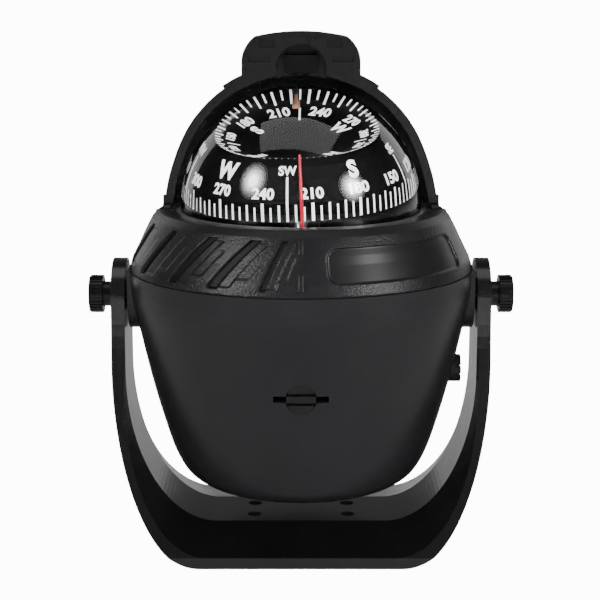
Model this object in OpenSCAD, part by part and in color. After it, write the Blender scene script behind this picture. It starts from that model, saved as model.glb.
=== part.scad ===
// Binnacle compass on a tilting bracket.
// Origin at the centre of the base's underside, +Z up, -Y towards the user.

/* [Bracket] */
// Height of the tilt axis above the base's underside
pivot_z = 62; // [60:0.5:66]
// Distance from the centre to the outer face of an arm
arm_out = 46.5; // [46.3:0.1:48]
// Thickness of an arm
arm_t = 3.4; // [3:0.1:3.6]
// Half the depth of an arm at its rounded top
arm_half = 9; // [8:0.5:11]
// Half the depth of the base
base_half = 28; // [24:1:32]
// Height of the flat rim around the base
rim_h = 2.8; // [2:0.1:3.5]
// Height of the base's floor
floor_z = 5.9; // [5:0.1:7]
// Half the depth of the flat floor
floor_half = 9.5; // [8:0.5:11]
// Radius of a base screw hole
screw_hole_r = 1.7; // [1.5:0.1:2.2]
// Spacing of the base screw holes across the base
screw_dx = 23.6; // [20:0.2:26]
// Spacing of the base screw holes along the base's depth
screw_dy = 8.6; // [8:0.2:10]

/* [Bowl] */
// Height of the seam between bowl and collar
seam_z = 69; // [68:0.5:70]
// Radius of the bowl at the seam
seam_r = 42.4; // [42:0.1:42.5]
// Wall thickness of the bowl and the collar
wall = 2; // [1.6:0.1:2.2]
// Height of the middle of the front adjuster
front_adj_z = 44.7; // [44.4:0.1:45]
// Height of the middle of the side adjuster
side_adj_z = 43; // [42.6:0.1:43.2]
// Radius of an adjuster's head
adj_r = 3.45; // [3.2:0.05:3.6]

/* [Dome and card] */
// Height of the dome's centre
dome_z = 84; // [83.6:0.1:84.4]
// Outer radius of the dome
dome_r = 29.6; // [29.4:0.1:29.7]
// Thickness of the dome
dome_t = 1.3; // [1.1:0.1:1.4]
// Radius of the card's skirt at its lower edge
card_r = 21; // [20:0.5:21.5]
// Height of the gimbal axes
gimbal_z = 80; // [79.8:0.1:80.2]
// Forward lean of the gimbal at rest, in degrees
lean_forward = 2.9; // [0:0.1:5]
// Sideways lean of the gimbal at rest, in degrees
lean_left = 2.4; // [0:0.1:5]

/* [Hood] */
// Inner radius of the hood
hood_in = 32.1; // [31.9:0.1:32.4]
// Outer radius of the hood
hood_out = 34.3; // [34:0.1:34.6]
// Height of the hood's hinge axis
hood_axis_z = 82.6; // [82.4:0.1:82.7]
// Width of the grip tab
tab_w = 29; // [24:1:32]
// Height of the grip tab's top edge
tab_top_z = 126.6; // [124:0.2:130]

/* [Knobs] */
// Radius of a knob's ribbed head
knob_r = 4.7; // [4.4:0.1:5.5]
// Distance from the centre to a knob's end face
knob_out = 52.5; // [51.5:0.1:54]
// Radius of a clamp screw's shank
stud_r = 2; // [1.8:0.1:2.2]

/* [Hidden] */
$fn = 96;
eps = 0.01;
fit = 0.06;
gap = 0.3;

arm_in = arm_out - arm_t;
lamp_z = tab_top_z - 10.2;
arm_curve_z = 48;
base_flat = 24.5;
floor_flat = 21;
floor_curve_z = 44;
flare_power = 1.9;
curve_steps = 36;

bowl_bottom_z = 13.5;
collar_top_z = 83.5;
collar_in = dome_r + 1.2;
bowl_profile = [
    [seam_r, seam_z], [41.9, 62], [40.1, 54], [38.3, 46], [36.3, 38], [34, 30],
    [32, 24], [29.8, 19.6], [27.6, 17.2], [24.5, 15.5], [18, 13.9], [12, bowl_bottom_z]];
collar_profile = [
    [seam_r, seam_z], [41.5, 72], [40.5, 74], [39.5, 76], [38.6, 78], [37.6, 80],
    [36.5, 82], [35.4, 83.1], [34, collar_top_z]];

hood_k = hood_in / hood_out;
hood_profile = [
    [34, 82.4], [33.7, 85], [33.35, 87], [32.55, 91], [31.35, 95], [29.95, 98.8], [28.05, 102.7],
    [25.4, 106.6], [21.7, 110.5], [17.1, 113.9], [11.5, 116.5], [6, 118], [0, 118.5]];

flange_z = 73;
flange_r = 35.4;
flange_t = 2;
gasket_t = 1;
dome_flange_t = 1.4;
dome_flange_r = 32.6;
ring_t = 1.6;
gasket_z = flange_z + flange_t;
dome_flange_z = gasket_z + gasket_t;
ring_z = dome_flange_z + dome_flange_t;
dome_in = dome_r - dome_t;
capsule_in = dome_in - 0.1;
capsule_out = capsule_in + 1.8;
capsule_low_z = dome_z - capsule_out;
plug_r = 1.1;
boss_r = 33.9;
boss_count = 6;
boss_turn = 15;
boss_low_z = 50;
screw_boss_r = 2.6;
screw_r = 0.9;
screw_free_r = 1.15;
screw_head_r = 1.5;
hood_pin_r = 0.7;
lens_r = 1.9;
ear_r = 2.2;
slot_half = 3.4;
adjuster_floor_z = 36;
post_r = 1.1;
grommet_z = 33;

pad_x = 42.5;
pad_r = 8.4;
insert_len = 5;
insert_r = 3.4;
washer_r = 3.9;
neck_r = 3.1;
head_len = 3.4;
rib_count = 30;

post_tip_z = dome_z + 5;
yoke_r = 23.2;
yoke_in = 21.7;
ring_out = 26;
ring_in = 24.5;
trunnion_in = 26.6;
gimbal_pin_r = 0.6;
diaphragm_r = 6;
filler_x = 8.6;
shaft_r = 1.2;
side_magnet_x = 8;
front_magnet_y = -2.6;
magnet_len = 10;

// Point i of an ellipse's lower right quarter, from its side down to its bottom
function quarter(cx, cz, ax, az, i) =
    [cx + ax * cos(90 * i / curve_steps), cz - az * sin(90 * i / curve_steps)];

// Half the depth of the bracket at height z
function depth_at(z) =
    arm_half + (base_half - arm_half) * pow(max(0, (pivot_z - z) / (pivot_z - rim_h)), flare_power);

// A bowl profile's radius at height z, between its points
function radius_at(profile, z, i = 0) =
    z >= profile[i + 1][1] || i >= len(profile) - 2
        ? profile[i + 1][0] + (profile[i][0] - profile[i + 1][0])
            * (z - profile[i + 1][1]) / (profile[i][1] - profile[i + 1][1])
        : radius_at(profile, z, i + 1);

// A point between b and c on the smooth curve through a, b, c and d
function between(a, b, c, d, t) =
    (2 * b + (c - a) * t + (2 * a - 5 * b + 4 * c - d) * t * t + (3 * b - a - 3 * c + d) * t * t * t) / 2;

// A profile's points with two more on each step, along a smooth curve
function smoothed(p) = let (last = len(p) - 1) concat(
    [for (i = [0:last - 1], k = [0:2]) between(p[max(i - 1, 0)], p[i], p[i + 1], p[min(i + 2, last)], k / 3)],
    [p[last]]);

module both_sides() {
    children();
    mirror([1, 0, 0]) children();
}

// A cylinder along X, from x0 to x1, at height z
module x_rod(x0, x1, r, z) {
    translate([x0, 0, z]) rotate([0, 90, 0]) cylinder(h = x1 - x0, r = r);
}

// A cylinder along Y, from y0 to y1, at height z
module y_rod(y0, y1, r, z) {
    translate([0, y0, z]) rotate([-90, 0, 0]) cylinder(h = y1 - y0, r = r);
}

module ring(r_in, r_out, z, h) {
    translate([0, 0, z]) difference() {
        cylinder(h = h, r = r_out);
        translate([0, 0, -eps]) cylinder(h = h + 2 * eps, r = r_in);
    }
}

// The gimbal ring's lean at rest, about the axis of its pins
module lean_ring() {
    translate([0, 0, gimbal_z]) rotate([lean_forward, 0, 0])
        translate([0, 0, -gimbal_z]) children();
}

// The yoke's and the card's lean at rest, about both axes
module lean_yoke() {
    lean_ring() translate([0, 0, gimbal_z]) rotate([0, -lean_left, 0])
        translate([0, 0, -gimbal_z]) children();
}

// Outline of the bracket seen from the front
module strap_outline() {
    half = [for (i = [0:curve_steps]) quarter(base_flat, arm_curve_z, arm_out - base_flat, arm_curve_z, i)];
    top = pivot_z + arm_half;
    polygon(concat(
        [[arm_out, top]], half,
        [for (i = [curve_steps:-1:0]) [-half[i][0], half[i][1]]], [[-arm_out, top]]));
}

// The open space between the arms, seen from the front
module strap_opening() {
    half = [for (i = [0:curve_steps])
        quarter(floor_flat, floor_curve_z, arm_in - floor_flat, floor_curve_z - floor_z, i)];
    top = pivot_z + arm_half + 1;
    polygon(concat(
        [[arm_in, top]], half,
        [for (i = [curve_steps:-1:0]) [-half[i][0], half[i][1]]], [[-arm_in, top]]));
}

// Outline of the bracket seen from the side, flared to the base
module side_outline() {
    steps = 20;
    side = [for (i = [0:steps]) let (z = rim_h + (pivot_z - rim_h) * i / steps) [depth_at(z), z]];
    union() {
        polygon(concat(
            [[depth_at(rim_h), 0]], side,
            [for (i = [steps:-1:0]) [-side[i][0], side[i][1]]], [[-depth_at(rim_h), 0]]));
        translate([0, pivot_z]) circle(r = arm_half);
    }
}

// The opening flares outwards past the flat floor, which leaves the sloping front and rear faces
module flared_opening() {
    reach = base_half + 1 - floor_half;
    full = base_half - floor_half;
    grow_z = 1 + (floor_z - rim_h) / (pivot_z - floor_z) * reach / full;
    grow_x = 1 + 0.075 * reach / full;
    translate([0, -floor_half, pivot_z]) rotate([90, 0, 0])
        linear_extrude(height = reach, scale = [grow_x, grow_z], slices = 1)
            translate([0, -pivot_z]) strap_opening();
}

module bracket() {
    color("#1c1c1e") difference() {
        intersection() {
            rotate([90, 0, 0]) linear_extrude(height = 2 * base_half + 2, center = true) strap_outline();
            rotate([90, 0, 90]) linear_extrude(height = 2 * arm_out + 2, center = true) side_outline();
        }
        rotate([90, 0, 0]) linear_extrude(height = 2 * floor_half + 2 * eps, center = true) strap_opening();
        flared_opening();
        mirror([0, 1, 0]) flared_opening();
        x_rod(-arm_out - 1, arm_out + 1, stud_r + fit, pivot_z);
        for (x = [-screw_dx / 2, screw_dx / 2], y = [-screw_dy / 2, screw_dy / 2])
            translate([x, y, -1]) cylinder(h = floor_z + 2, r = screw_hole_r);
    }
}

module bowl_solid() {
    rotate_extrude() polygon(concat([[0, seam_z]], smoothed(bowl_profile), [[0, bowl_bottom_z]]));
}

module bowl_cavity() {
    inner = [for (p = bowl_profile) [max(p[0] - wall, 0), max(p[1], bowl_bottom_z + wall)]];
    top = seam_z + 1;
    rotate_extrude() polygon(concat([[0, top], [inner[0][0], top]], inner, [[0, bowl_bottom_z + wall]]));
}

// A flat pad for an arm, with a round lower end
module bowl_pad() {
    intersection() {
        translate([seam_r - 8, 0, 0]) hull() {
            x_rod(0, pad_x - seam_r + 8, pad_r, pivot_z);
            translate([0, -pad_r, seam_z - 1]) cube([pad_x - seam_r + 8, 2 * pad_r, 1]);
        }
        translate([0, -pad_r - 1, 0]) cube([pad_x, 2 * pad_r + 2, seam_z]);
    }
}

// Places its child at each of the six clamp screws
module at_screws() {
    for (i = [0:boss_count - 1]) rotate([0, 0, 360 / boss_count * i + boss_turn])
        translate([boss_r, 0, 0]) children();
}

// Screw bosses, each joined to the wall by a rib
module bowl_bosses() {
    low_x = radius_at(bowl_profile, boss_low_z) - 1 - boss_r;
    top_x = seam_r - 1 - boss_r;
    rib_top = seam_z - 0.5;
    at_screws() translate([0, 0, boss_low_z]) cylinder(h = flange_z - boss_low_z, r = screw_boss_r);
    at_screws() rotate([90, 0, 0]) linear_extrude(height = 1.6, center = true)
        polygon([[0, boss_low_z + 1], [low_x, boss_low_z + 1], [top_x, rib_top], [0, rib_top]]);
}

module bowl() {
    front_y = radius_at(bowl_profile, front_adj_z);
    color("#232325") difference() {
        union() {
            difference() {
                union() {
                    bowl_solid();
                    both_sides() bowl_pad();
                }
                bowl_cavity();
            }
            bowl_bosses();
            both_sides() x_rod(pad_x - 2 * insert_len - 1, pad_x - 1, insert_r + 1.4, pivot_z);
            for (x = [-7.5, 7.5]) translate([x, 0, bowl_bottom_z + 1])
                cylinder(h = adjuster_floor_z - bowl_bottom_z - 1, r = 3);
        }
        both_sides() x_rod(pad_x - insert_len, pad_x + 1, insert_r, pivot_z);
        both_sides() x_rod(pad_x - 2 * insert_len - 2, pad_x, stud_r + 0.15, pivot_z);
        at_screws() translate([0, 0, flange_z - 7]) cylinder(h = 8, r = screw_r);
        y_rod(-seam_r, -front_y + 6, adj_r + 0.2, front_adj_z);
        translate([-6.4, -seam_r, front_adj_z - 0.8]) cube([12.8, seam_r - front_y + 4, 1.6]);
        x_rod(20, seam_r, adj_r + 0.2, side_adj_z);
        y_rod(20, seam_r, 2.5, grommet_z);
        y_rod(radius_at(bowl_profile, grommet_z) - 0.6, seam_r, 3.9, grommet_z);
    }
}

// Slanted decorative grooves on the collar's left half
module collar_grooves() {
    for (i = [0:3]) rotate([0, 0, 208 + 12.5 * i]) translate([30, 0, 76.4])
        rotate([-28, 0, 0]) cube([20, 2.2, 6.4], center = true);
}

// A plain recessed panel on the collar's right half
module collar_panel() {
    rotate([0, 0, -84]) rotate_extrude(angle = 54) polygon([[30, 72.4], [50, 72.4], [50, 80], [30, 80]]);
}

module collar() {
    skin = 0.35;
    inner = [for (p = collar_profile) [p[0] - wall, min(p[1], collar_top_z - 1.3)]];
    color("#29292c") difference() {
        rotate_extrude() polygon(concat(
            [[collar_in, collar_top_z]],
            [for (i = [len(collar_profile) - 1:-1:0]) collar_profile[i]],
            [[seam_r - wall, seam_z]],
            [for (p = inner) if (p[1] > seam_z) p],
            [[collar_in, collar_top_z - 1.3]]));
        intersection() {
            union() {
                collar_grooves();
                collar_panel();
            }
            rotate_extrude() polygon(concat(
                [for (p = collar_profile) [p[0] + 5, p[1]]],
                [for (i = [len(collar_profile) - 1:-1:0]) [collar_profile[i][0] - skin, collar_profile[i][1]]]));
        }
        both_sides() translate([collar_in - 1, -slot_half, hood_axis_z - ear_r - gap])
            cube([hood_out + gap - collar_in + 1, 2 * slot_half, 6]);
        both_sides() x_rod(hood_in - 1, hood_out + 1.6, hood_pin_r, hood_axis_z);
    }
}

module dome() {
    color([0.92, 0.95, 0.97, 0.3]) rotate_extrude() difference() {
        union() {
            intersection() {
                translate([0, dome_z]) circle(r = dome_r);
                translate([0, dome_z]) square([dome_r + 1, dome_r + 1]);
            }
            translate([0, dome_flange_z]) square([dome_r, dome_z - dome_flange_z]);
            translate([0, dome_flange_z]) square([dome_flange_r, dome_flange_t]);
        }
        intersection() {
            translate([0, dome_z]) circle(r = dome_in);
            translate([-1, dome_z]) square([dome_r + 1, dome_r + 1]);
        }
        translate([-1, dome_flange_z - 1]) square([dome_in + 1, dome_z - dome_flange_z + 1]);
    }
}

module dome_seal() {
    color("#0c0c0d") ring(dome_r, collar_in, collar_top_z - 1.4, 1.2);
}

module dome_gasket() {
    color("#101010") ring(capsule_out + 0.3, dome_flange_r - 0.6, gasket_z, gasket_t);
}

// The lower half of the liquid-filled capsule, with two lugs that carry the gimbal pins
module capsule() {
    color("#161617") difference() {
        union() {
            rotate_extrude() difference() {
                union() {
                    intersection() {
                        translate([0, dome_z]) circle(r = capsule_out);
                        translate([0, capsule_low_z]) square([capsule_out + 1, flange_z + 0.5 - capsule_low_z]);
                    }
                    translate([0, flange_z]) square([flange_r, flange_t]);
                    translate([0, capsule_low_z - 2]) square([11, 8]);
                }
                intersection() {
                    translate([0, dome_z]) circle(r = capsule_in);
                    translate([-1, 0]) square([capsule_in + 2, gasket_z + 1]);
                }
                translate([-1, 0]) square([5, dome_z - 20]);
            }
            both_sides() intersection() {
                translate([trunnion_in, -2.4, flange_z]) cube([4, 4.8, gimbal_z + 2.2 - flange_z]);
                translate([0, 0, flange_z]) cylinder(h = 20, r = dome_in - 0.15);
            }
        }
        both_sides() x_rod(trunnion_in - 1, dome_in + 1, gimbal_pin_r, gimbal_z);
        at_screws() translate([0, 0, flange_z - 1]) cylinder(h = flange_t + 2, r = screw_free_r);
        translate([filler_x, 0, capsule_low_z - 3]) cylinder(h = 8, r = plug_r);
    }
}

module clamp_ring() {
    color("#1a1a1b") difference() {
        union() {
            ring(dome_r + 0.2, flange_r, ring_z, ring_t);
            ring(dome_flange_r + 0.15, flange_r, gasket_z, ring_z - gasket_z + eps);
        }
        at_screws() translate([0, 0, gasket_z - 1]) cylinder(h = 8, r = screw_free_r);
    }
}

module clamp_screws() {
    color("#b8babd") at_screws() difference() {
        union() {
            translate([0, 0, ring_z + ring_t]) cylinder(h = 0.8, r = screw_head_r);
            translate([0, 0, flange_z - 5.5]) cylinder(h = ring_z + ring_t + 0.4 - flange_z + 5.5, r = screw_r);
        }
        translate([-2, -0.2, ring_z + ring_t + 0.4]) cube([4, 0.4, 1]);
    }
}

// A rubber cup that lets the liquid expand
module diaphragm() {
    base = capsule_low_z - 2;
    color("#2a2a2a") translate([0, 0, base]) rotate_extrude() polygon([
        [0, 0.7], [2.4, 0.7], [3.2, 0], [diaphragm_r, 0], [diaphragm_r, -1], [2.8, -1],
        [2, -0.3], [0, -0.3]]);
}

module diaphragm_ring() {
    base = capsule_low_z - 3;
    color("#1a1a1b") difference() {
        translate([0, 0, base - 1.4]) cylinder(h = 1.4, r = diaphragm_r + 0.3);
        translate([0, 0, base - 2]) cylinder(h = 3, r = 3.4);
    }
}

module filler_plug() {
    base = capsule_low_z - 2;
    color("#c7a45a") difference() {
        union() {
            translate([filler_x, 0, base - 0.5]) cylinder(h = 4.5, r = plug_r);
            translate([filler_x, 0, base - 1.2]) cylinder(h = 1.2, r = 1.9);
        }
        translate([filler_x - 2.5, -0.25, base - 1.7]) cube([5, 0.5, 1]);
    }
}

module threaded_inserts() {
    color("#c9a14a") both_sides() difference() {
        x_rod(pad_x - insert_len, pad_x - 0.1, insert_r, pivot_z);
        x_rod(pad_x - insert_len - 1, pad_x + 1, stud_r + fit, pivot_z);
    }
}

// Toothed washers that let the bowl grip the arms
module friction_washers() {
    thick = arm_in - pad_x - 0.1;
    teeth = 24;
    color("#3a3a3d") both_sides() difference() {
        union() {
            x_rod(pad_x, pad_x + thick * 0.6, washer_r, pivot_z);
            for (i = [0:teeth - 1]) translate([0, 0, pivot_z]) rotate([360 / teeth * i, 0, 0])
                translate([pad_x, -0.25, 2.6]) cube([thick, 0.5, washer_r - 2.6]);
        }
        x_rod(pad_x - 1, pad_x + thick + 1, stud_r + 0.3, pivot_z);
    }
}

// Carries the two crossed correction shafts
module adjuster_block() {
    color("#222224") difference() {
        translate([-13, -9, adjuster_floor_z]) cube([26, 18, 12.6]);
        y_rod(-10, front_magnet_y + 0.3, shaft_r + fit, front_adj_z);
        x_rod(-side_magnet_x - 0.4, 14, shaft_r + fit, side_adj_z);
    }
}

module wire_grommet() {
    r = radius_at(bowl_profile, grommet_z);
    color("#141414") difference() {
        union() {
            y_rod(r - 3, r + 0.6, 2.5, grommet_z);
            y_rod(r - 0.6, r + 0.6, 3.8, grommet_z);
        }
        y_rod(r - 4, r + 2, 1.3, grommet_z);
    }
}

// Solid of the hood's outer form, scaled about the dome's centre
module hood_form(k) {
    outer = [for (p = smoothed(hood_profile)) [p[0] * k, dome_z + (p[1] - dome_z) * k]];
    rotate_extrude() polygon(concat([[0, outer[0][1]]], outer));
}

// Shell between two scaled forms, cut by the lip's plane and just above the collar
module hood_shell(k_in, k_out, half_angle) {
    intersection() {
        difference() {
            hood_form(k_out);
            hood_form(k_in);
        }
        translate([-40, 0, collar_top_z + gap]) cube([80, 60, 60]);
        if (half_angle < 90) rotate([90, 0, 0]) linear_extrude(height = 120, center = true)
            translate([0, dome_z])
                polygon([[0, 0], [60 * tan(half_angle), 60], [-60 * tan(half_angle), 60]]);
    }
}

// Grip tab at the hood's top, with a niche for the lamp and finger bars
module hood_tab() {
    corner = 7.5;
    thick = 3;
    bar_depth = 1;
    crown_r = 50;
    foot_z = dome_z + hood_out - 5;
    translate([0, thick, 0]) rotate([90, 0, 0]) difference() {
        linear_extrude(height = thick) intersection() {
            union() {
                for (s = [-1, 1]) translate([s * (tab_w / 2 - corner), tab_top_z - corner]) circle(r = corner);
                translate([-tab_w / 2 + corner, foot_z]) square([tab_w - 2 * corner, tab_top_z - foot_z]);
                translate([-tab_w / 2, foot_z]) square([tab_w, tab_top_z - corner - foot_z]);
            }
            translate([0, tab_top_z - crown_r]) circle(r = crown_r);
        }
        for (s = [-1, 1]) {
            translate([s * 8.2, tab_top_z - 3.1, thick]) cube([3.8, 1.6, bar_depth * 2], center = true);
            translate([s * 10.2, tab_top_z - 6.6, thick]) cube([5.2, 1.5, bar_depth * 2], center = true);
        }
    }
}

module lamp_niche() {
    translate([0, 7, 0]) rotate([90, 0, 0]) linear_extrude(height = 8) union() {
        translate([0, tab_top_z - 9.2]) circle(r = 6.2);
        translate([-6.2, dome_z + hood_in - 3]) square([12.4, tab_top_z - 6.2 - dome_z - hood_in]);
    }
}

module hood() {
    color("#1a1a1c") difference() {
        union() {
            hood_shell(hood_k, 1, 90);
            hood_shell(hood_k + 0.015, 1.022, 33);
            intersection() {
                hood_tab();
                translate([-40, -1, dome_z]) cube([80, 10, 60]);
            }
            intersection() {
                translate([0, 8.6, 0]) rotate([90, 0, 0]) linear_extrude(height = 6) union() {
                    translate([0, tab_top_z - 9.2]) circle(r = 7.6);
                    translate([-7.6, dome_z + hood_in + 0.4]) square([15.2, 6]);
                }
                translate([-40, 0, dome_z]) cube([80, 10, 60]);
            }
            both_sides() x_rod(hood_in, hood_out - gap, ear_r, hood_axis_z);
            both_sides() translate([hood_in, 0, hood_axis_z]) cube([hood_out - hood_in - gap, ear_r, 4]);
        }
        hood_form(hood_k - 0.0005);
        lamp_niche();
        both_sides() x_rod(hood_in - 1, hood_out + 2, hood_pin_r + fit, hood_axis_z);
    }
}

module hood_pins() {
    color("#b0b2b5") both_sides() x_rod(hood_in - 0.9, hood_out + 1.5, hood_pin_r, hood_axis_z);
}

// The lamp sits in the niche and lights the card from above
module lamp_holder() {
    color("#262628") difference() {
        translate([-4.2, 1.4, lamp_z]) cube([8.4, 5.6, 4.4]);
        translate([0, 4, lamp_z - 1]) cylinder(h = 3.4, r = lens_r);
    }
}

module lamp_lens() {
    color("#e8dfd0") translate([0, 4, lamp_z - 0.4]) cylinder(h = 2.8, r = lens_r);
}

module gimbal_pins() {
    color("#c4c6c9") both_sides() x_rod(ring_out - 1.2, dome_in - 0.3, gimbal_pin_r, gimbal_z);
}

module gimbal_ring() {
    color("#202022") lean_ring() difference() {
        ring(ring_in, ring_out, gimbal_z - 1.3, 2.6);
        both_sides() x_rod(ring_in - 1, ring_out + 1, gimbal_pin_r + fit, gimbal_z);
        y_rod(-ring_out - 1, ring_out + 1, gimbal_pin_r + fit, gimbal_z);
    }
}

module yoke_pins() {
    color("#c4c6c9") lean_yoke() for (s = [0, 180]) rotate([0, 0, s])
        y_rod(yoke_r - 1, ring_out - 0.1, gimbal_pin_r, gimbal_z);
}

// A half hoop that hangs from the gimbal ring and holds the pivot post
module yoke() {
    color("#1d1d1f") lean_yoke() difference() {
        union() {
            translate([-2.2, 0, gimbal_z]) rotate([0, 90, 0]) rotate([0, 0, -90]) rotate_extrude(angle = 180)
                translate([yoke_in, 0]) square([yoke_r - yoke_in, 4.4]);
            for (s = [0, 180]) rotate([0, 0, s]) translate([-1.9, yoke_in + 0.15, gimbal_z - 1])
                cube([3.8, yoke_r - yoke_in - 0.3, 3]);
            translate([0, 0, gimbal_z - yoke_in - 0.6]) cylinder(h = 4.6, r = 3);
        }
        y_rod(-yoke_r - 1, -yoke_r + 1, gimbal_pin_r, gimbal_z);
        y_rod(yoke_r - 1, yoke_r + 1, gimbal_pin_r, gimbal_z);
        translate([0, 0, gimbal_z - yoke_r + 0.3]) cylinder(h = 12, r = post_r);
    }
}

module counterweight() {
    low = gimbal_z - yoke_in + 1.2;
    color("#8a8c90") lean_yoke() difference() {
        translate([-9, -6.9, low]) cube([18, 13.8, 2.4]);
        translate([0, 0, low - 1]) cylinder(h = 5, r = 3);
    }
}

module pivot_post() {
    low = gimbal_z - yoke_r + 0.3;
    tip = 2.2;
    color("#d0d2d5") lean_yoke() union() {
        translate([0, 0, low]) cylinder(h = post_tip_z - tip - low, r = post_r);
        translate([0, 0, post_tip_z - tip]) cylinder(h = tip, r1 = post_r, r2 = 0.15);
    }
}

module front_lubber() {
    low = gimbal_z + 2;
    foot = (yoke_in + yoke_r) / 2;
    wire_r = 0.42;
    knee_z = dome_z + 6;
    run = 2.4;
    rise = 9.5;
    color("#b3152a") lean_yoke() translate([0.5, -foot, 0]) union() {
        translate([0, 0, low]) cylinder(h = 1.4, r = 0.7);
        translate([0, 0, low]) cylinder(h = knee_z - low, r = wire_r);
        translate([0, 0, knee_z]) sphere(r = wire_r + 0.03);
        translate([0, 0, knee_z]) rotate([-atan2(run, rise), 0, 0])
            cylinder(h = norm([run, rise]), r1 = wire_r, r2 = 0.3);
    }
}

// A wire that rises behind the card and points over the dial
module rear_lubber() {
    low = gimbal_z + 2;
    foot = (yoke_in + yoke_r) / 2;
    knee = 19.6;
    knee_z = dome_z + 14.6;
    run = foot - knee;
    rise = knee_z - low - 1.4;
    color("#8a5f45") lean_yoke() union() {
        translate([0, foot, low]) cylinder(h = 1.4 + eps, r = 0.7);
        translate([0, foot, low + 1.4]) rotate([atan2(run, rise), 0, 0])
            cylinder(h = norm([run, rise]), r = 0.3);
        y_rod(9.6, knee, 0.3, knee_z);
        translate([0, knee, knee_z]) sphere(r = 0.3);
        translate([0, 10.4, knee_z - 0.3]) cube([1.2, 1.8, 0.6], center = true);
    }
}

skirt_profile = [
    [card_r, 0.8], [card_r + 0.1, 4.7], [card_r - 0.6, 6.9], [card_r - 1.7, 9.4],
    [card_r - 3.1, 12], [16.5, 13.3]];
dial_profile = [[16.5, 13.3], [15.7, 13.3], [13.6, 12.5], [10.4, 11.6], [6, 11.1], [0, 10.9]];
card_t = 0.5;

module card_skirt() {
    inner = [for (i = [len(skirt_profile) - 2:-1:0])
        [skirt_profile[i][0] - card_t - 0.05, skirt_profile[i][1] - (i > 2 ? 0.25 : 0)]];
    color("#151516") lean_yoke() translate([0, 0, dome_z]) rotate_extrude()
        polygon(concat(skirt_profile, [[15.9, 12.75]], inner));
}

module card_dial() {
    color("#18181a") lean_yoke() translate([0, 0, dome_z]) rotate_extrude() polygon(concat(
        [for (i = [1:len(dial_profile) - 1]) dial_profile[i]],
        [for (i = [len(dial_profile) - 1:-1:1]) [dial_profile[i][0], dial_profile[i][1] - card_t]]));
}

// Hollow float under the dial
module card_float() {
    color("#e3e3df") lean_yoke() translate([0, 0, dome_z]) rotate_extrude() difference() {
        polygon([
            [0, 10.4], [6, 10.5], [10.6, 11], [12, 9.4], [11, 6], [7, 4.2],
            [2.6, 4.2], [2.6, 9], [0, 9]]);
        polygon([[3.8, 9.4], [6, 9.5], [10, 9.9], [10.8, 9.2], [10, 6.8], [6.6, 5.4], [3.8, 5.4]]);
    }
}

module jewel_cup() {
    color("#caa24c") lean_yoke() difference() {
        translate([0, 0, post_tip_z - 1.6]) cylinder(h = dome_z + 9 - post_tip_z + 1.6, r = 2.2);
        translate([0, 0, post_tip_z - 2.6]) cylinder(h = 2.72, r1 = 2.1, r2 = 0.12);
    }
}

module card_magnets() {
    color("#6c6e72") lean_yoke() for (s = [-1, 1])
        translate([s * 6.2, 0, dome_z + 2.7]) cube([3, 24, 3], center = true);
}

// Ribbed head and plain neck, along +X
module knob_shape() {
    difference() {
        union() {
            x_rod(knob_out - head_len, knob_out, knob_r - 0.25, pivot_z);
            for (i = [0:rib_count - 1]) translate([0, 0, pivot_z]) rotate([360 / rib_count * i, 0, 0])
                translate([knob_out - head_len, -0.22, knob_r - 1]) cube([head_len - 0.3, 0.44, 1]);
            x_rod(arm_out + 0.1, knob_out - head_len + eps, neck_r, pivot_z);
        }
        x_rod(arm_out - 1, knob_out - 1.2, stud_r, pivot_z);
    }
}

module stud_shape() {
    x_rod(pad_x - 2 * insert_len + 1, knob_out - 1.2, stud_r, pivot_z);
}

module left_knob() { color("#1f1f21") mirror([1, 0, 0]) knob_shape(); }
module right_knob() { color("#1f1f21") knob_shape(); }
module left_stud() { color("#b5b7ba") mirror([1, 0, 0]) stud_shape(); }
module right_stud() { color("#b5b7ba") stud_shape(); }

// An adjuster along +X: grooved head, shaft and a slot for its cross magnet
module adjuster_shape(face, far, r_shaft) {
    difference() {
        union() {
            x_rod(face - 3.4, face, adj_r, 0);
            x_rod(far, face - 3.4 + eps, r_shaft, 0);
        }
        for (z = [-1.1, 1.1]) translate([face - 1.4, -5, z - 0.35]) cube([2, 10, 0.7]);
    }
}

module side_adjuster() {
    face = radius_at(bowl_profile, side_adj_z) + 2.4;
    color("#2c2c2e") translate([0, 0, side_adj_z]) adjuster_shape(face, side_magnet_x, shaft_r);
}

module side_magnet() {
    color("#8d8f93") x_rod(-side_magnet_x, side_magnet_x, shaft_r, side_adj_z);
}

module front_adjuster() {
    face = radius_at(bowl_profile, front_adj_z) - 0.2;
    far = magnet_len - front_magnet_y;
    color("#2c2c2e") translate([0, 0, front_adj_z]) rotate([0, 0, -90]) adjuster_shape(face, far, shaft_r);
}

module front_magnet() {
    color("#8d8f93") y_rod(front_magnet_y - magnet_len, front_magnet_y, shaft_r, front_adj_z);
}

bracket();
bowl();
collar();
dome();
dome_seal();
dome_gasket();
capsule();
clamp_ring();
clamp_screws();
diaphragm();
diaphragm_ring();
filler_plug();
threaded_inserts();
friction_washers();
adjuster_block();
wire_grommet();
hood_pins();
hood();
lamp_holder();
lamp_lens();
gimbal_pins();
gimbal_ring();
yoke_pins();
yoke();
counterweight();
pivot_post();
front_lubber();
rear_lubber();
card_dial();
card_skirt();
card_float();
jewel_cup();
card_magnets();
left_knob();
left_stud();
right_knob();
right_stud();
front_adjuster();
front_magnet();
side_adjuster();
side_magnet();
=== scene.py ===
"""Looks for a binnacle compass: a liquid-filled dome with a drum card, hung in a U bracket."""
import math
import bpy
import bmesh
from mathutils import Matrix, Vector, noise


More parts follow.
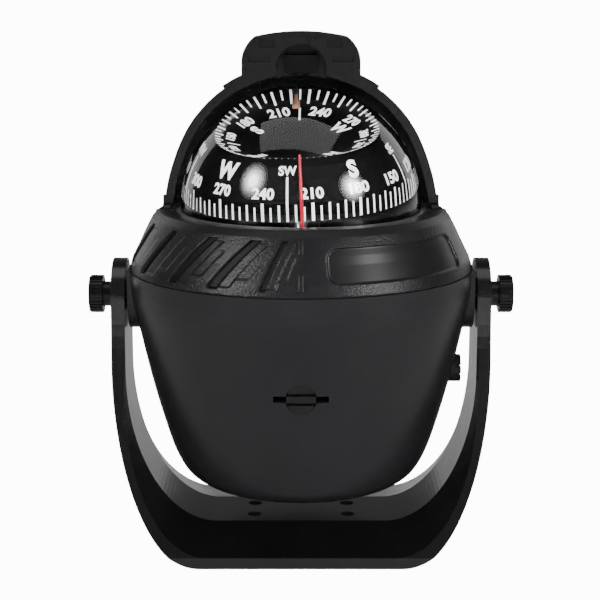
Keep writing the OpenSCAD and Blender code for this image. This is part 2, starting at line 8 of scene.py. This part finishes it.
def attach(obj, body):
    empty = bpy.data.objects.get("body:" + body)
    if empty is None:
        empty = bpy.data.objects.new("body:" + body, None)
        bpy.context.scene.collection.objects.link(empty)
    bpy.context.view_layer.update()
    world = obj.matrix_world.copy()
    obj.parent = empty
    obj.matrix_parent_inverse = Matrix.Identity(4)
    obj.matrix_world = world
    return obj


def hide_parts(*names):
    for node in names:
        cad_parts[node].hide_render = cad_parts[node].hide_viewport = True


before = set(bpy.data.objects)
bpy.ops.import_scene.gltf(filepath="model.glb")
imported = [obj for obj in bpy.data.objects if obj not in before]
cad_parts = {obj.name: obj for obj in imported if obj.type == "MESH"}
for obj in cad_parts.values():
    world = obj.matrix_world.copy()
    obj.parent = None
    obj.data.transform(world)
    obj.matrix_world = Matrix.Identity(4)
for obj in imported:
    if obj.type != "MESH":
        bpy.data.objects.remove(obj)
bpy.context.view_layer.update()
MM = 0.001

# ---------------------------------------------------------------- driving values, in mm
DOME_Z = 84.0            # centre of the dome
DOME_R = 29.6
LENS_LOW_Z = 77.4
LIQUID_IOR = 1.43
GIMBAL_Z = 80.0
LEAN_FORWARD = math.radians(2.9)
LEAN_LEFT = math.radians(2.4)
SKIRT_HEADING = 217.9    # the skirt reading that faces the user
DIAL_HEADING = 222.7     # the dial reading on the far side
SEAM_Z = 69.0
COLLAR = [(42.4, 69), (41.5, 72), (40.5, 74), (39.5, 76), (38.6, 78), (37.6, 80),
          (36.5, 82), (35.4, 83.1), (34.0, 83.5)]
COLLAR_IN = 30.8
COLLAR_TOP_Z = 83.5
SKIN_TOP_Z = 83.2        # top of the collar's grained skin
SKIN_R = 40.0            # radius at which lengths round the collar are measured
GRAIN_HEIGHT = 0.03
SKIRT = [(21.0, 0.8), (21.1, 4.7), (20.4, 6.9), (19.3, 9.4), (17.9, 12.0), (16.5, 13.3)]
DIAL = [(16.5, 13.3), (15.7, 13.3), (13.6, 12.5), (10.4, 11.6), (6.0, 11.1), (0.0, 10.9)]
INK = 0.06               # height of printed figures above the card
INK_THICKNESS = 0.05
INK_STEP = 0.55          # longest edge in a figure before it is cut to bend
SKIRT_R = 20.6           # radius at which the skirt's figures keep their width
MARK_LOW = 0.02
THIRTY_MARK = (0.62, 3.95)   # width and length of the skirt's marks
POINT_MARK = 0.5
TEN_MARK = (0.46, 3.05)
FIVE_MARK = (0.4, 2.6)
DIAL_EDGE = 15.5         # outer end of the dial's marks


# ---------------------------------------------------------------- materials
class Mat:
    """A node material with short calls for the nodes that every surface here uses."""

    def __init__(self, name):
        self.mat = bpy.data.materials.new(name)
        self.mat.use_nodes = True
        self.tree = self.mat.node_tree
        self.tree.nodes.clear()
        self.out = self.tree.nodes.new("ShaderNodeOutputMaterial")
        self.coords = self.tree.nodes.new("ShaderNodeTexCoord").outputs["Object"]

    def node(self, kind, **values):
        n = self.tree.nodes.new(kind)
        for key, value in values.items():
            if key in n.inputs:
                n.inputs[key].default_value = value
            else:
                setattr(n, key, value)
        return n

    def link(self, a, b):
        self.tree.links.new(a, b)

    def noise(self, scale, detail=4.0, rough=0.55, stretch=None):
        n = self.node("ShaderNodeTexNoise")
        n.inputs["Scale"].default_value = scale
        n.inputs["Detail"].default_value = detail
        n.inputs["Roughness"].default_value = rough
        source = self.coords
        if stretch:
            m = self.node("ShaderNodeMapping")
            m.inputs["Scale"].default_value = stretch
            self.link(source, m.inputs["Vector"])
            source = m.outputs["Vector"]
        self.link(source, n.inputs["Vector"])
        return n.outputs["Fac"]

    def ramp(self, source, low, high, a, b):
        """Maps source from low..high to a..b."""
        n = self.node("ShaderNodeMapRange")
        for name, value in (("From Min", low), ("From Max", high), ("To Min", a), ("To Max", b)):
            n.inputs[name].default_value = value
        self.link(source, n.inputs["Value"])
        return n.outputs["Result"]

    def colours(self, source, low, dark, high, light):
        n = self.node("ShaderNodeValToRGB")
        n.color_ramp.elements[0].position = low
        n.color_ramp.elements[0].color = (*dark, 1)
        n.color_ramp.elements[1].position = high
        n.color_ramp.elements[1].color = (*light, 1)
        self.link(source, n.inputs["Fac"])
        return n.outputs["Color"]

    def bump(self, source, height, strength=1.0, after=None):
        n = self.node("ShaderNodeBump")
        n.inputs["Strength"].default_value = strength
        n.inputs["Distance"].default_value = height
        self.link(source, n.inputs["Height"])
        if after is not None:
            self.link(after, n.inputs["Normal"])
        return n.outputs["Normal"]

    def principled(self, colour=None, rough=None, normal=None, **values):
        p = self.node("ShaderNodeBsdfPrincipled")
        for key, value in values.items():
            p.inputs[key.replace("_", " ")].default_value = value
        for value, name in ((colour, "Base Color"), (rough, "Roughness"), (normal, "Normal")):
            if value is not None:
                self.link(value, p.inputs[name])
        self.link(p.outputs["BSDF"], self.out.inputs["Surface"])
        return p


def moulded(name, dark, light, rough, grain=0.0, grain_scale=2600, specular=0.5):
    """Black moulded plastic: faint clouding, patchy gloss, and grain or light scuffs."""
    m = Mat(name)
    cloud = m.noise(45, 3)
    fine = m.noise(2400, 2)
    scuff = m.noise(160, 3, 0.5)
    colour = m.colours(cloud, 0.3, dark, 0.75, light)
    roughness = m.ramp(scuff, 0.3, 0.75, rough - 0.015, rough + 0.025)
    normal = m.bump(fine, 0.000002, 0.3)
    if grain:
        normal = m.bump(m.noise(grain_scale, 2), grain, 1.0, normal)
    m.principled(colour, roughness, normal, Specular_IOR_Level=specular)
    return m.mat


def metal(name, dark, light, rough, stretch=(1, 1, 1)):
    m = Mat(name)
    grain = m.noise(1800, 3, 0.6, stretch)
    colour = m.colours(m.noise(300, 4), 0.3, dark, 0.7, light)
    roughness = m.ramp(grain, 0.3, 0.7, rough - 0.06, rough + 0.1)
    m.principled(colour, roughness, m.bump(grain, 0.00001, 0.4), Metallic=1.0)
    return m.mat


def printed(name, tone, rough=0.5, painted_glow=0.0):
    """Ink or enamel with slightly uneven cover, and a painted glow that brightens it as if lit."""
    m = Mat(name)
    cover = m.noise(1500, 3)
    colour = m.colours(cover, 0.25, tuple(c * 0.9 for c in tone), 0.7, tone)
    roughness = m.ramp(cover, 0.3, 0.7, rough - 0.05, rough + 0.05)
    m.principled(colour, roughness, m.bump(cover, 0.000008, 0.4),
                 Emission_Color=(*tone, 1), Emission_Strength=painted_glow)
    return m.mat


def tipped(name, tone, dark, tip_y):
    """Enamel on a wire's end only: dark beyond tip_y from the middle."""
    m = Mat(name)
    cover = m.noise(1500, 3)
    split = m.node("ShaderNodeSeparateXYZ")
    m.link(m.coords, split.inputs[0])
    edge = m.ramp(split.outputs["Y"], tip_y, tip_y + 0.2 * MM, 0.0, 1.0)
    mix = m.node("ShaderNodeMix", data_type="RGBA")
    m.link(edge, mix.inputs["Factor"])
    m.link(m.colours(cover, 0.25, tuple(c * 0.9 for c in tone), 0.7, tone), mix.inputs[6])
    mix.inputs[7].default_value = (*dark, 1)
    m.principled(mix.outputs[2], m.ramp(cover, 0.3, 0.7, 0.4, 0.5), m.bump(cover, 0.000008, 0.4))
    return m.mat


def clear(name):
    """Clear acrylic and the liquid behind it as one body that bends light but lets lamps through."""
    m = Mat(name)
    haze = m.noise(120, 3)
    tint = m.colours(haze, 0.2, (0.975, 0.98, 0.985), 0.8, (0.995, 0.997, 1.0))
    glass = m.principled(tint, None, m.bump(haze, 0.0000005, 0.1),
                         Roughness=0.0, IOR=LIQUID_IOR, Transmission_Weight=1.0)
    see = m.node("ShaderNodeBsdfTransparent")
    path = m.node("ShaderNodeLightPath")
    mix = m.node("ShaderNodeMixShader")
    m.link(path.outputs["Is Shadow Ray"], mix.inputs[0])
    m.link(glass.outputs["BSDF"], mix.inputs[1])
    m.link(see.outputs["BSDF"], mix.inputs[2])
    m.link(mix.outputs["Shader"], m.out.inputs["Surface"])
    return m.mat


BLACK = moulded("bracket_plastic", (0.0035, 0.0035, 0.0038), (0.005, 0.005, 0.0054), 0.2,
                specular=0.38)
BOWL = moulded("bowl_plastic", (0.0075, 0.0075, 0.0082), (0.0092, 0.0092, 0.01), 0.33,
               grain=0.000003, specular=0.12)
GRAINED = moulded("grained_plastic", (0.0048, 0.0048, 0.0053), (0.008, 0.008, 0.0087), 0.34,
                  grain=0.00011, grain_scale=2100, specular=0.12)
SMOOTH = moulded("panel_plastic", (0.005, 0.005, 0.0055), (0.0075, 0.0075, 0.008), 0.3,
                 specular=0.13)
HOOD = moulded("hood_plastic", (0.0022, 0.0022, 0.0024), (0.0036, 0.0036, 0.0039), 0.26,
               specular=0.2)
# dark plastic of the inner parts, also laid on the collar's channels as painted shade
INNER_AND_CHANNEL_SHADE = moulded("inner_plastic_and_channel_shade", (0.0012, 0.0012, 0.0013), (0.0022, 0.0022, 0.0024), 0.5,
                specular=0.08)
CARD = moulded("card_black", (0.0004, 0.0004, 0.0005), (0.0008, 0.0008, 0.0009), 0.55,
               specular=0.06)
RUBBER = moulded("black_rubber", (0.006, 0.006, 0.006), (0.011, 0.011, 0.011), 0.7, grain=0.00001)
STEEL = metal("nickel_steel", (0.42, 0.42, 0.43), (0.62, 0.62, 0.64), 0.28, (1, 1, 8))
BRASS = metal("turned_brass", (0.48, 0.33, 0.13), (0.7, 0.52, 0.25), 0.3)
LEAD = metal("magnet_metal", (0.05, 0.051, 0.053), (0.09, 0.091, 0.095), 0.45)
FLOAT = printed("white_float", (0.72, 0.72, 0.7), 0.35)
# the white ink and the red enamel glow a little: painted light on the print
WHITE = printed("white_ink", (0.92, 0.92, 0.9), 0.5, 0.5)
RED = printed("red_enamel", (0.26, 0.003, 0.012), 0.32, 0.03)
TAN = tipped("tan_enamel", (0.2, 0.1, 0.06), (0.002, 0.002, 0.002), 11.35 * MM)
LENS = moulded("lamp_lens", (0.003, 0.0025, 0.002), (0.005, 0.004, 0.003), 0.25, specular=0.12)
CLEAR = clear("clear_acrylic")

FINISH = {
    "bracket": BLACK, "bowl": BOWL, "hood": HOOD, "capsule": INNER_AND_CHANNEL_SHADE, "clamp_ring": INNER_AND_CHANNEL_SHADE,
    "dome_seal": RUBBER, "dome_gasket": RUBBER, "diaphragm": RUBBER, "wire_grommet": RUBBER,
    "clamp_screws": STEEL, "hood_pins": LEAD, "gimbal_pins": STEEL, "yoke_pins": LEAD,
    "pivot_post": STEEL, "left_stud": STEEL, "right_stud": STEEL, "filler_plug": BRASS,
    "threaded_inserts": BRASS, "jewel_cup": BRASS, "counterweight": LEAD, "card_magnets": LEAD,
    "front_magnet": LEAD, "side_magnet": LEAD, "diaphragm_ring": INNER_AND_CHANNEL_SHADE, "adjuster_block": INNER_AND_CHANNEL_SHADE,
    "lamp_holder": INNER_AND_CHANNEL_SHADE, "lamp_lens": LENS, "gimbal_ring": INNER_AND_CHANNEL_SHADE, "yoke": INNER_AND_CHANNEL_SHADE,
    "friction_washers": BOWL, "left_knob": HOOD, "right_knob": HOOD, "front_adjuster": HOOD,
    "side_adjuster": GRAINED, "front_lubber": RED, "rear_lubber": TAN, "card_dial": CARD,
    "card_skirt": CARD, "card_float": FLOAT,
}
BEVEL = {"bracket": 0.25, "bowl": 0.25, "hood": 0.3, "left_knob": 0.12, "right_knob": 0.12,
         "front_adjuster": 0.12, "side_adjuster": 0.15, "friction_washers": 0.08}


def finish_cad_nodes():
    """Gives each CAD node its material, and rounds the edges of those seen from outside."""
    for name, mat in FINISH.items():
        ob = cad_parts[name]
        ob.data.materials.clear()
        ob.data.materials.append(mat)
        if name in BEVEL:
            b = ob.modifiers.new("edges", "BEVEL")
            b.width = BEVEL[name] * MM
            b.segments = 3
            b.limit_method = "ANGLE"
            b.angle_limit = math.radians(32)
            b.harden_normals = False


# ---------------------------------------------------------------- mesh helpers
def make(name, verts, faces, mat, body, smooth=True, sharp=None):
    mesh = bpy.data.meshes.new(name)
    mesh.from_pydata([tuple(c * MM for c in v) for v in verts], [], faces)
    mesh.update()
    bm = bmesh.new()
    bm.from_mesh(mesh)
    bmesh.ops.remove_doubles(bm, verts=bm.verts, dist=1e-7)
    bmesh.ops.recalc_face_normals(bm, faces=bm.faces)
    bm.to_mesh(mesh)
    bm.free()
    ob = bpy.data.objects.new(name, mesh)
    bpy.context.scene.collection.objects.link(ob)
    mesh.materials.append(mat)
    if smooth:
        mesh.polygons.foreach_set("use_smooth", [True] * len(mesh.polygons))
        if sharp:
            mesh.set_sharp_from_angle(angle=math.radians(sharp))
    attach(ob, body)
    return ob


def along(profile, s):
    """The point at length s along a profile of (r, z) pairs, carried straight on past its ends."""
    for (r0, z0), (r1, z1) in zip(profile, profile[1:]):
        d = math.hypot(r1 - r0, z1 - z0)
        if s <= d or (r1, z1) == profile[-1]:
            return r0 + (r1 - r0) * s / d, z0 + (z1 - z0) * s / d
        s -= d


def length_at_z(profile, z):
    """Length along a rising profile up to height z."""
    total = 0.0
    for (r0, z0), (r1, z1) in zip(profile, profile[1:]):
        d = math.hypot(r1 - r0, z1 - z0)
        if z <= z1:
            return total + d * (z - z0) / (z1 - z0)
        total += d
    return total


def dial_height(r):
    """Height of the dial's face above the dome's centre."""
    for (r0, z0), (r1, z1) in zip(DIAL, DIAL[1:]):
        if r >= r1:
            return z1 + (z0 - z1) * (min(r, r0) - r1) / (r0 - r1)
    return DIAL[-1][1]


LEAN = (Matrix.Translation((0, 0, GIMBAL_Z)) @ Matrix.Rotation(LEAN_FORWARD, 4, "X")
        @ Matrix.Rotation(-LEAN_LEFT, 4, "Y") @ Matrix.Translation((0, 0, -GIMBAL_Z)))


def leaned(p):
    """A point of the level card, moved to where the card leans at rest."""
    return tuple(LEAN @ Vector(p))


# ---------------------------------------------------------------- card graphics
def glyphs(text, height, bold):
    """Flat triangles of a centred text, with its edges cut short enough to bend over the card."""
    curve = bpy.data.curves.new("figure", "FONT")
    curve.body = text
    curve.size = 1.0
    curve.align_x = "CENTER"
    curve.resolution_u = 4
    curve.offset = bold
    ob = bpy.data.objects.new("figure", curve)
    bpy.context.scene.collection.objects.link(ob)
    bpy.context.view_layer.update()
    mesh = bpy.data.meshes.new_from_object(ob.evaluated_get(bpy.context.evaluated_depsgraph_get()))
    bpy.data.objects.remove(ob)
    bpy.data.curves.remove(curve)
    low = min(v.co.y for v in mesh.vertices)
    high = max(v.co.y for v in mesh.vertices)
    bm = bmesh.new()
    bm.from_mesh(mesh)
    bpy.data.meshes.remove(mesh)
    scale = height / (high - low)
    for v in bm.verts:
        v.co = Vector((v.co.x * scale, (v.co.y - low) * scale, 0))
    bmesh.ops.remove_doubles(bm, verts=bm.verts, dist=0.002)
    for _ in range(4):
        long = [e for e in bm.edges if e.calc_length() > INK_STEP]
        if not long:
            break
        bmesh.ops.subdivide_edges(bm, edges=long, cuts=1)
        bmesh.ops.triangulate(bm, faces=bm.faces)
    points = [tuple(v.co) for v in bm.verts]
    bm.verts.index_update()
    faces = [[v.index for v in f.verts] for f in bm.faces]
    bm.free()
    return points, faces


class Print:
    """Collects raised print for one piece: flat outlines bent onto the card."""

    def __init__(self):
        self.verts, self.faces = [], []

    def add(self, points, faces, place):
        n = len(self.verts)
        self.verts += [leaned(place(x, y)) for x, y, _ in points]
        self.faces += [[n + i for i in f] for f in faces]

    def bar(self, width, y0, y1, place):
        """A straight mark from y0 to y1, cut short enough to bend."""
        rows = max(2, int((y1 - y0) / 0.5) + 1)
        points, faces = [], []
        for i in range(rows):
            y = y0 + (y1 - y0) * i / (rows - 1)
            points += [(-width / 2, y, 0), (width / 2, y, 0)]
        for i in range(rows - 1):
            faces.append([2 * i, 2 * i + 1, 2 * i + 3, 2 * i + 2])
        self.add(points, faces, place)


def on_skirt(reading):
    """Places print on the skirt: x round it to the right, y up its profile."""
    phi = math.radians(reading - SKIRT_HEADING)

    def place(x, y):
        r, z = along(SKIRT, y)
        a = phi - x / SKIRT_R
        r += INK
        return (-r * math.sin(a), -r * math.cos(a), DOME_Z + z)
    return place


def on_dial(reading):
    """Places print on the dial: x to the right seen from the rim, y out from the centre."""
    phi = math.radians(reading - DIAL_HEADING)
    out = (math.sin(phi), math.cos(phi))

    def place(x, y):
        px, py = out[0] * y + out[1] * x, out[1] * y - out[0] * x
        r = math.hypot(px, py)
        return (px, py, DOME_Z + dial_height(r) + INK)
    return place


LETTERS = {0: "N", 45: "NE", 90: "E", 135: "SE", 180: "S", 225: "SW", 270: "W", 315: "NW"}


def card_print():
    """Scale marks, numbers and letters of the card, as thin raised print."""
    ink = Print()
    long_line = length_at_z(SKIRT, 10.1)
    for reading in range(0, 360, 5):
        place = on_skirt(reading)
        stretch = 1.15 + 0.15 * math.cos(math.radians(reading - 150))
        if reading % 30 == 0:
            ink.bar(THIRTY_MARK[0], MARK_LOW, THIRTY_MARK[1], place)
        elif reading % 45 == 0:
            ink.bar(POINT_MARK, MARK_LOW, long_line, place)
        elif reading % 10 == 0:
            ink.bar(TEN_MARK[0], MARK_LOW, TEN_MARK[1] * stretch, place)
        else:
            ink.bar(FIVE_MARK[0], MARK_LOW, FIVE_MARK[1] * stretch, place)
    for reading in range(0, 360, 30):
        points, faces = glyphs(str(reading), 2.5, 0.036)
        wide = max(p[0] for p in points) - min(p[0] for p in points)
        squeeze = min(1.2, 5.1 / wide)
        base = length_at_z(SKIRT, 6.7) - 1.22
        place = on_skirt(reading)
        ink.add([(x * squeeze, y + base, 0) for x, y, _ in points], faces, place)
    for reading, letter in LETTERS.items():
        big = len(letter) == 1
        height = 4.05 if big else 2.2
        base = length_at_z(SKIRT, 8.75 if big else 10.4)
        points, faces = glyphs(letter, height, 0.045 if big else 0.035)
        place = on_skirt(reading)
        squeeze = 1.08 if big else 1.0
        ink.add([(x * squeeze, y + base, 0) for x, y, _ in points], faces, place)

    for reading in range(0, 360, 5):
        inner = 13.7 if reading % 10 == 0 else 14.3
        ink.bar(0.34 if reading % 10 == 0 else 0.26, inner, DIAL_EDGE, on_dial(reading))
    for reading in range(0, 360, 30):
        points, faces = glyphs(str(reading), 1.75, 0.03)
        ink.add([(x, y + 11.35, 0) for x, y, _ in points], faces, on_dial(reading))
    for reading, letter in LETTERS.items():
        place = on_dial(reading)
        if len(letter) == 1:
            points, faces = glyphs(letter, 2.5, 0.035)
            ink.add([(x, y + 8.4, 0) for x, y, _ in points], faces, place)
        else:
            ink.bar(0.3, 10.4, 12.9, place)
    ob = make("card_print", ink.verts, ink.faces, WHITE, "card", smooth=False)
    solid = ob.modifiers.new("thickness", "SOLIDIFY")
    solid.thickness = INK_THICKNESS * MM
    solid.offset = -1.0
    return ob


# ---------------------------------------------------------------- dome with its liquid
def lens():
    """The clear dome and the liquid under it as one closed body."""
    rings, around = 48, 128
    profile = [(0.0, LENS_LOW_Z), (DOME_R - 0.05, LENS_LOW_Z), (DOME_R - 0.05, DOME_Z - 1)]
    profile += [(DOME_R * math.cos(a), DOME_Z + DOME_R * math.sin(a))
                for a in (math.pi / 2 * i / rings for i in range(rings + 1))]
    return revolve("dome_lens", profile, around, CLEAR, "bowl", sharp=40)


def revolve(name, profile, around, mat, body, sharp=None):
    """A body turned from an open profile of (r, z) pairs that starts and ends on the axis."""
    verts, faces = [], []
    for i in range(around):
        a = 2 * math.pi * i / around
        verts += [(r * math.cos(a), r * math.sin(a), z) for r, z in profile]
    n = len(profile)
    for i in range(around):
        j = (i + 1) % around
        for k in range(n - 1):
            faces.append([i * n + k, j * n + k, j * n + k + 1, i * n + k + 1])
    return make(name, verts, faces, mat, body, sharp=sharp)


# ---------------------------------------------------------------- collar
def smooth_step(x, low, high):
    t = min(1.0, max(0.0, (x - low) / (high - low)))
    return t * t * (3 - 2 * t)


def band(x, low, high, soft):
    """1 between low and high, and fading to 0 over the soft width outside them."""
    return smooth_step(x, low - soft, low) * (1 - smooth_step(x, high, high + soft))


def collar_radius(z):
    """Outer radius of the collar before anything is sunk into it."""
    for (r0, z0), (r1, z1) in zip(COLLAR, COLLAR[1:]):
        if z <= z1:
            return r0 + (r1 - r0) * (z - z0) / (z1 - z0)
    return COLLAR[-1][0]


# each sunk strip: its left and right edge and its lean to the right, in degrees
GROOVES = [(-80.0, -66.0, 14.0), (-60.5, -47.0, 15.0), (-41.5, -30.5, 17.0),
           (-25.0, -13.5, 18.0), (-10.0, -3.0, 9.0)]
PANEL = {"from": 8.5, "to": 67.0, "low": 0.2, "high": 0.76, "corner": 2.6}


def rounded_box(x, z, x0, x1, z0, z1, corner):
    """Distance outside a box with round corners, in mm; negative inside."""
    dx = abs(x - (x0 + x1) / 2) - (x1 - x0) / 2 + corner
    dz = abs(z - (z0 + z1) / 2) - (z1 - z0) / 2 + corner
    return math.hypot(max(dx, 0), max(dz, 0)) + min(max(dx, dz), 0) - corner


CHANNEL = 2.8            # degrees across the deep channel on each strip's left side


def strip_lean(slant, up):
    """How far a strip has leant to the right at a share of the collar's height, in degrees."""
    return slant * (up - 0.5 + 0.45 * (up - 0.5) ** 2)


def in_channel(angle, z):
    """How much a point of the collar's skin lies in a strip's deep channel, 0 to 1."""
    up = (z - SEAM_Z) / (SKIN_TOP_Z - SEAM_Z)
    across = max(band(angle - strip_lean(slant, up), low, low + CHANNEL * slant / 16, 0.5)
                 for low, high, slant in GROOVES)
    return across * band(up, 0.13, 0.84, 0.035)


def in_panel(angle, z):
    """How much a point of the collar's skin lies in the plain sunk panel, 0 to 1."""
    height = SKIN_TOP_Z - SEAM_Z
    edge = rounded_box(math.radians(angle) * SKIN_R, z,
                       math.radians(PANEL["from"]) * SKIN_R, math.radians(PANEL["to"]) * SKIN_R,
                       SEAM_Z + PANEL["low"] * height, SEAM_Z + PANEL["high"] * height,
                       PANEL["corner"])
    return 1 - smooth_step(edge, -0.35, 0.0)


def collar_relief(angle, z):
    """How far the collar's skin is sunk, in mm, at an angle from the front (right is positive)."""
    up = (z - SEAM_Z) / (SKIN_TOP_Z - SEAM_Z)
    sunk = max(in_panel(angle, z) * 0.5, in_channel(angle, z) * 0.75)
    for low, high, slant in GROOVES:
        turned = angle - strip_lean(slant, up)
        floor = band(turned, low, low + (high - low) * 0.62, 0.7) * band(up, 0.16, 0.8, 0.035)
        ledge = band(turned, low + (high - low) * 0.62, high, 0.7) * band(up, 0.3, 0.66, 0.05)
        sunk = max(sunk, floor * 0.4, ledge * 0.2)
    rows = max(band(up, 0.12, 0.36, 0.03), band(up, 0.66, 0.86, 0.03))
    notch = band(angle, -0.7, 0.7, 0.4) * rows
    seam = 1 - smooth_step(z, SEAM_Z, SEAM_Z + 0.4)
    return max(sunk, notch * 0.55) + seam * 0.35


HINGE_SLOT = {"half": 3.4, "inner": 30.9, "outer": 34.6, "floor": 80.3}


def collar():
    """Grained ring: sunk slanted strips on one side, a plain panel on the other, two hinge slots;
    the strips' channels get darker plastic as painted shade.
    """
    around, rows = 900, 84
    slot = HINGE_SLOT
    verts, faces = [], []
    for i in range(around):
        a = 2 * math.pi * i / around
        angle = math.degrees(math.atan2(math.sin(a), math.cos(a)))
        in_slot = abs(slot["outer"] * math.cos(a)) < slot["half"]
        floor_z = slot["floor"] if in_slot else COLLAR_TOP_Z
        ceiling = slot["floor"] - 0.2 if in_slot else 82.2
        profile = []
        for k in range(rows + 1):
            z = SEAM_Z + (SKIN_TOP_Z - SEAM_Z) * k / rows
            r = collar_radius(z) - collar_relief(angle, z)
            grain = 0.0 if collar_relief(angle, z) > 0.3 else GRAIN_HEIGHT
            r += grain * noise.noise(Vector((r * math.sin(a), r * math.cos(a), z)) * 3.2)
            profile.append((r, z))
        profile += [(34.95, 83.36), (slot["outer"], COLLAR_TOP_Z), (slot["outer"], floor_z),
                    (slot["inner"], floor_z), (slot["inner"], COLLAR_TOP_Z),
                    (COLLAR_IN, COLLAR_TOP_Z), (COLLAR_IN, ceiling), (35.0, ceiling),
                    (38.0, 76.0), (40.4, SEAM_Z)]
        n = len(profile)
        verts += [(r * math.sin(a), -r * math.cos(a), z) for r, z in profile]
    for i in range(around):
        j = (i + 1) % around
        for k in range(n):
            m = (k + 1) % n
            faces.append([i * n + k, j * n + k, j * n + m, i * n + m])
    ob = make("collar_ring", verts, faces, GRAINED, "bowl", sharp=50)
    ob.data.materials.append(SMOOTH)      # 1, the panel
    ob.data.materials.append(INNER_AND_CHANNEL_SHADE)       # 2, the strips' channels: darker plastic as painted shade in their recesses
    for polygon in ob.data.polygons:
        c = polygon.center / MM
        angle = math.degrees(math.atan2(c.x, -c.y))
        if c.z > SEAM_Z + 0.5 and math.hypot(c.x, c.y) > 35.0:
            # channel faces take the darker plastic: painted shade in the deep channels
            if in_channel(angle, c.z) > 0.4:
                polygon.material_index = 2
            elif in_panel(angle, c.z) > 0.3:
                polygon.material_index = 1
    return ob


# ---------------------------------------------------------------- stage, light, camera
SEEN_SHARE = 0.8         # how much of the plain white backdrop is seen by the camera


def stage():
    """Floor and world: both plain white to the camera, and a soft pale studio to the surfaces."""
    size = 40.0
    white = 16.0
    mesh = bpy.data.meshes.new("floor")
    corners = [(-size, -size, 0), (size, -size, 0), (size, size, 0), (-size, size, 0)]
    mesh.from_pydata(corners, [], [[0, 1, 2, 3]])
    floor = bpy.data.objects.new("floor", mesh)
    bpy.context.scene.collection.objects.link(floor)
    m = Mat("floor_white")
    tone = m.colours(m.noise(3, 2), 0.2, (0.5, 0.5, 0.5), 0.8, (0.55, 0.55, 0.55))
    lit = m.principled(tone, None, None, Roughness=0.6)
    path = m.node("ShaderNodeLightPath")
    painted_glow = m.node("ShaderNodeEmission")
    painted_glow.inputs["Strength"].default_value = white
    blend = m.node("ShaderNodeMixShader")
    share = m.node("ShaderNodeMath", operation="MULTIPLY")
    share.inputs[1].default_value = SEEN_SHARE
    m.link(path.outputs["Is Camera Ray"], share.inputs[0])
    m.link(share.outputs[0], blend.inputs[0])
    m.link(lit.outputs["BSDF"], blend.inputs[1])
    m.link(painted_glow.outputs["Emission"], blend.inputs[2])
    m.link(blend.outputs["Shader"], m.out.inputs["Surface"])
    mesh.materials.append(m.mat)
    world = bpy.data.worlds.new("studio")
    bpy.context.scene.world = world
    world.use_nodes = True
    nodes, links = world.node_tree.nodes, world.node_tree.links
    way = nodes.new("ShaderNodeTexCoord")
    split = nodes.new("ShaderNodeSeparateXYZ")
    back = nodes.new("ShaderNodeMapRange")
    for name, value in (("From Min", 0.3), ("From Max", 0.98), ("To Min", 0.03), ("To Max", 0.2)):
        back.inputs[name].default_value = value
    links.new(way.outputs["Generated"], split.inputs[0])
    links.new(split.outputs["Y"], back.inputs["Value"])
    seen = nodes.new("ShaderNodeLightPath")
    level = nodes.new("ShaderNodeMix")
    level.data_type = "FLOAT"
    level.inputs["B"].default_value = SEEN_SHARE * white
    links.new(seen.outputs["Is Camera Ray"], level.inputs["Factor"])
    links.new(back.outputs["Result"], level.inputs["A"])
    links.new(level.outputs["Result"], nodes["Background"].inputs["Strength"])
    nodes["Background"].inputs["Color"].default_value = (1, 1, 1, 1)


def lamp(name, where, target, size, power, shape="RECTANGLE", mirrored=True):
    """A soft lamp; one that isn't mirrored lights surfaces without showing in their gloss."""
    data = bpy.data.lights.new(name, "AREA")
    data.shape = shape
    data.size, data.size_y = size
    data.energy = power
    ob = bpy.data.objects.new(name, data)
    ob.location = where
    ob.rotation_mode = "QUATERNION"
    ob.rotation_quaternion = (Vector(target) - Vector(where)).to_track_quat("-Z", "Y")
    ob.visible_glossy = mirrored
    bpy.context.scene.collection.objects.link(ob)
    return ob


LAMP_GAP = 0.004         # between nested lamps, in m


def soft_lamp(name, where, target, size, power, shape):
    """A lamp brightest in its middle: nested lamps, each a little nearer than the wider one.

    The bright inner ones only show in gloss."""
    steps = ((1.0, 0.07), (0.86, 0.13), (0.72, 0.19), (0.58, 0.22), (0.44, 0.22), (0.3, 0.17))
    way = (Vector(target) - Vector(where)).normalized()
    for i, (share, part) in enumerate(steps):
        ob = lamp(f"{name}_{i}", Vector(where) + way * LAMP_GAP * i, target,
                  [side * share for side in size], power * part, shape)
        ob.visible_diffuse = i < 2


def lights():
    lamp("top_softbox", (-0.03, -0.14, 0.85), (0, 0, 0.1), (0.86, 0.52), 2.6)
    soft_lamp("left_softbox", (-0.6, -0.5, 0.48), (0, 0, 0.08), (0.42, 0.5), 12.0, "ELLIPSE")
    soft_lamp("right_spot", (0.64, -0.5, 0.4), (0, 0, 0.08), (0.42, 0.42), 13.0, "DISK")
    for side, name in ((-1, "left_rim"), (1, "right_rim")):
        lamp(name, (side * 0.8, 1.0, 0.42), (0, 0, 0.1), (0.7, 0.8), 2.6)
    lamp("front_fill", (0.1, -1.2, 0.35), (0, 0, 0.06), (0.5, 0.3), 34.0, mirrored=False)
    lamp("backdrop_wash", (0.0, 1.3, 1.2), (0, 0.6, 0), (2.2, 1.0), 30.0, mirrored=False)


def camera():
    """Looks down a little on the front."""
    data = bpy.data.cameras.new("camera")
    cam = bpy.data.objects.new("camera", data)
    bpy.context.scene.collection.objects.link(cam)
    cam.location = (0.0, -0.4, 0.142)
    cam.rotation_euler = (math.radians(90 - 11.539), 0, 0)
    data.lens = 98.16
    data.sensor_width = 36.0
    data.shift_x = -1 / 600
    data.clip_start, data.clip_end = 0.01, 20.0
    bpy.context.scene.camera = cam


finish_cad_nodes()
stage()
lights()
camera()
card_print()
dome = lens()
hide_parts("dome")
ring = collar()
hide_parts("collar")
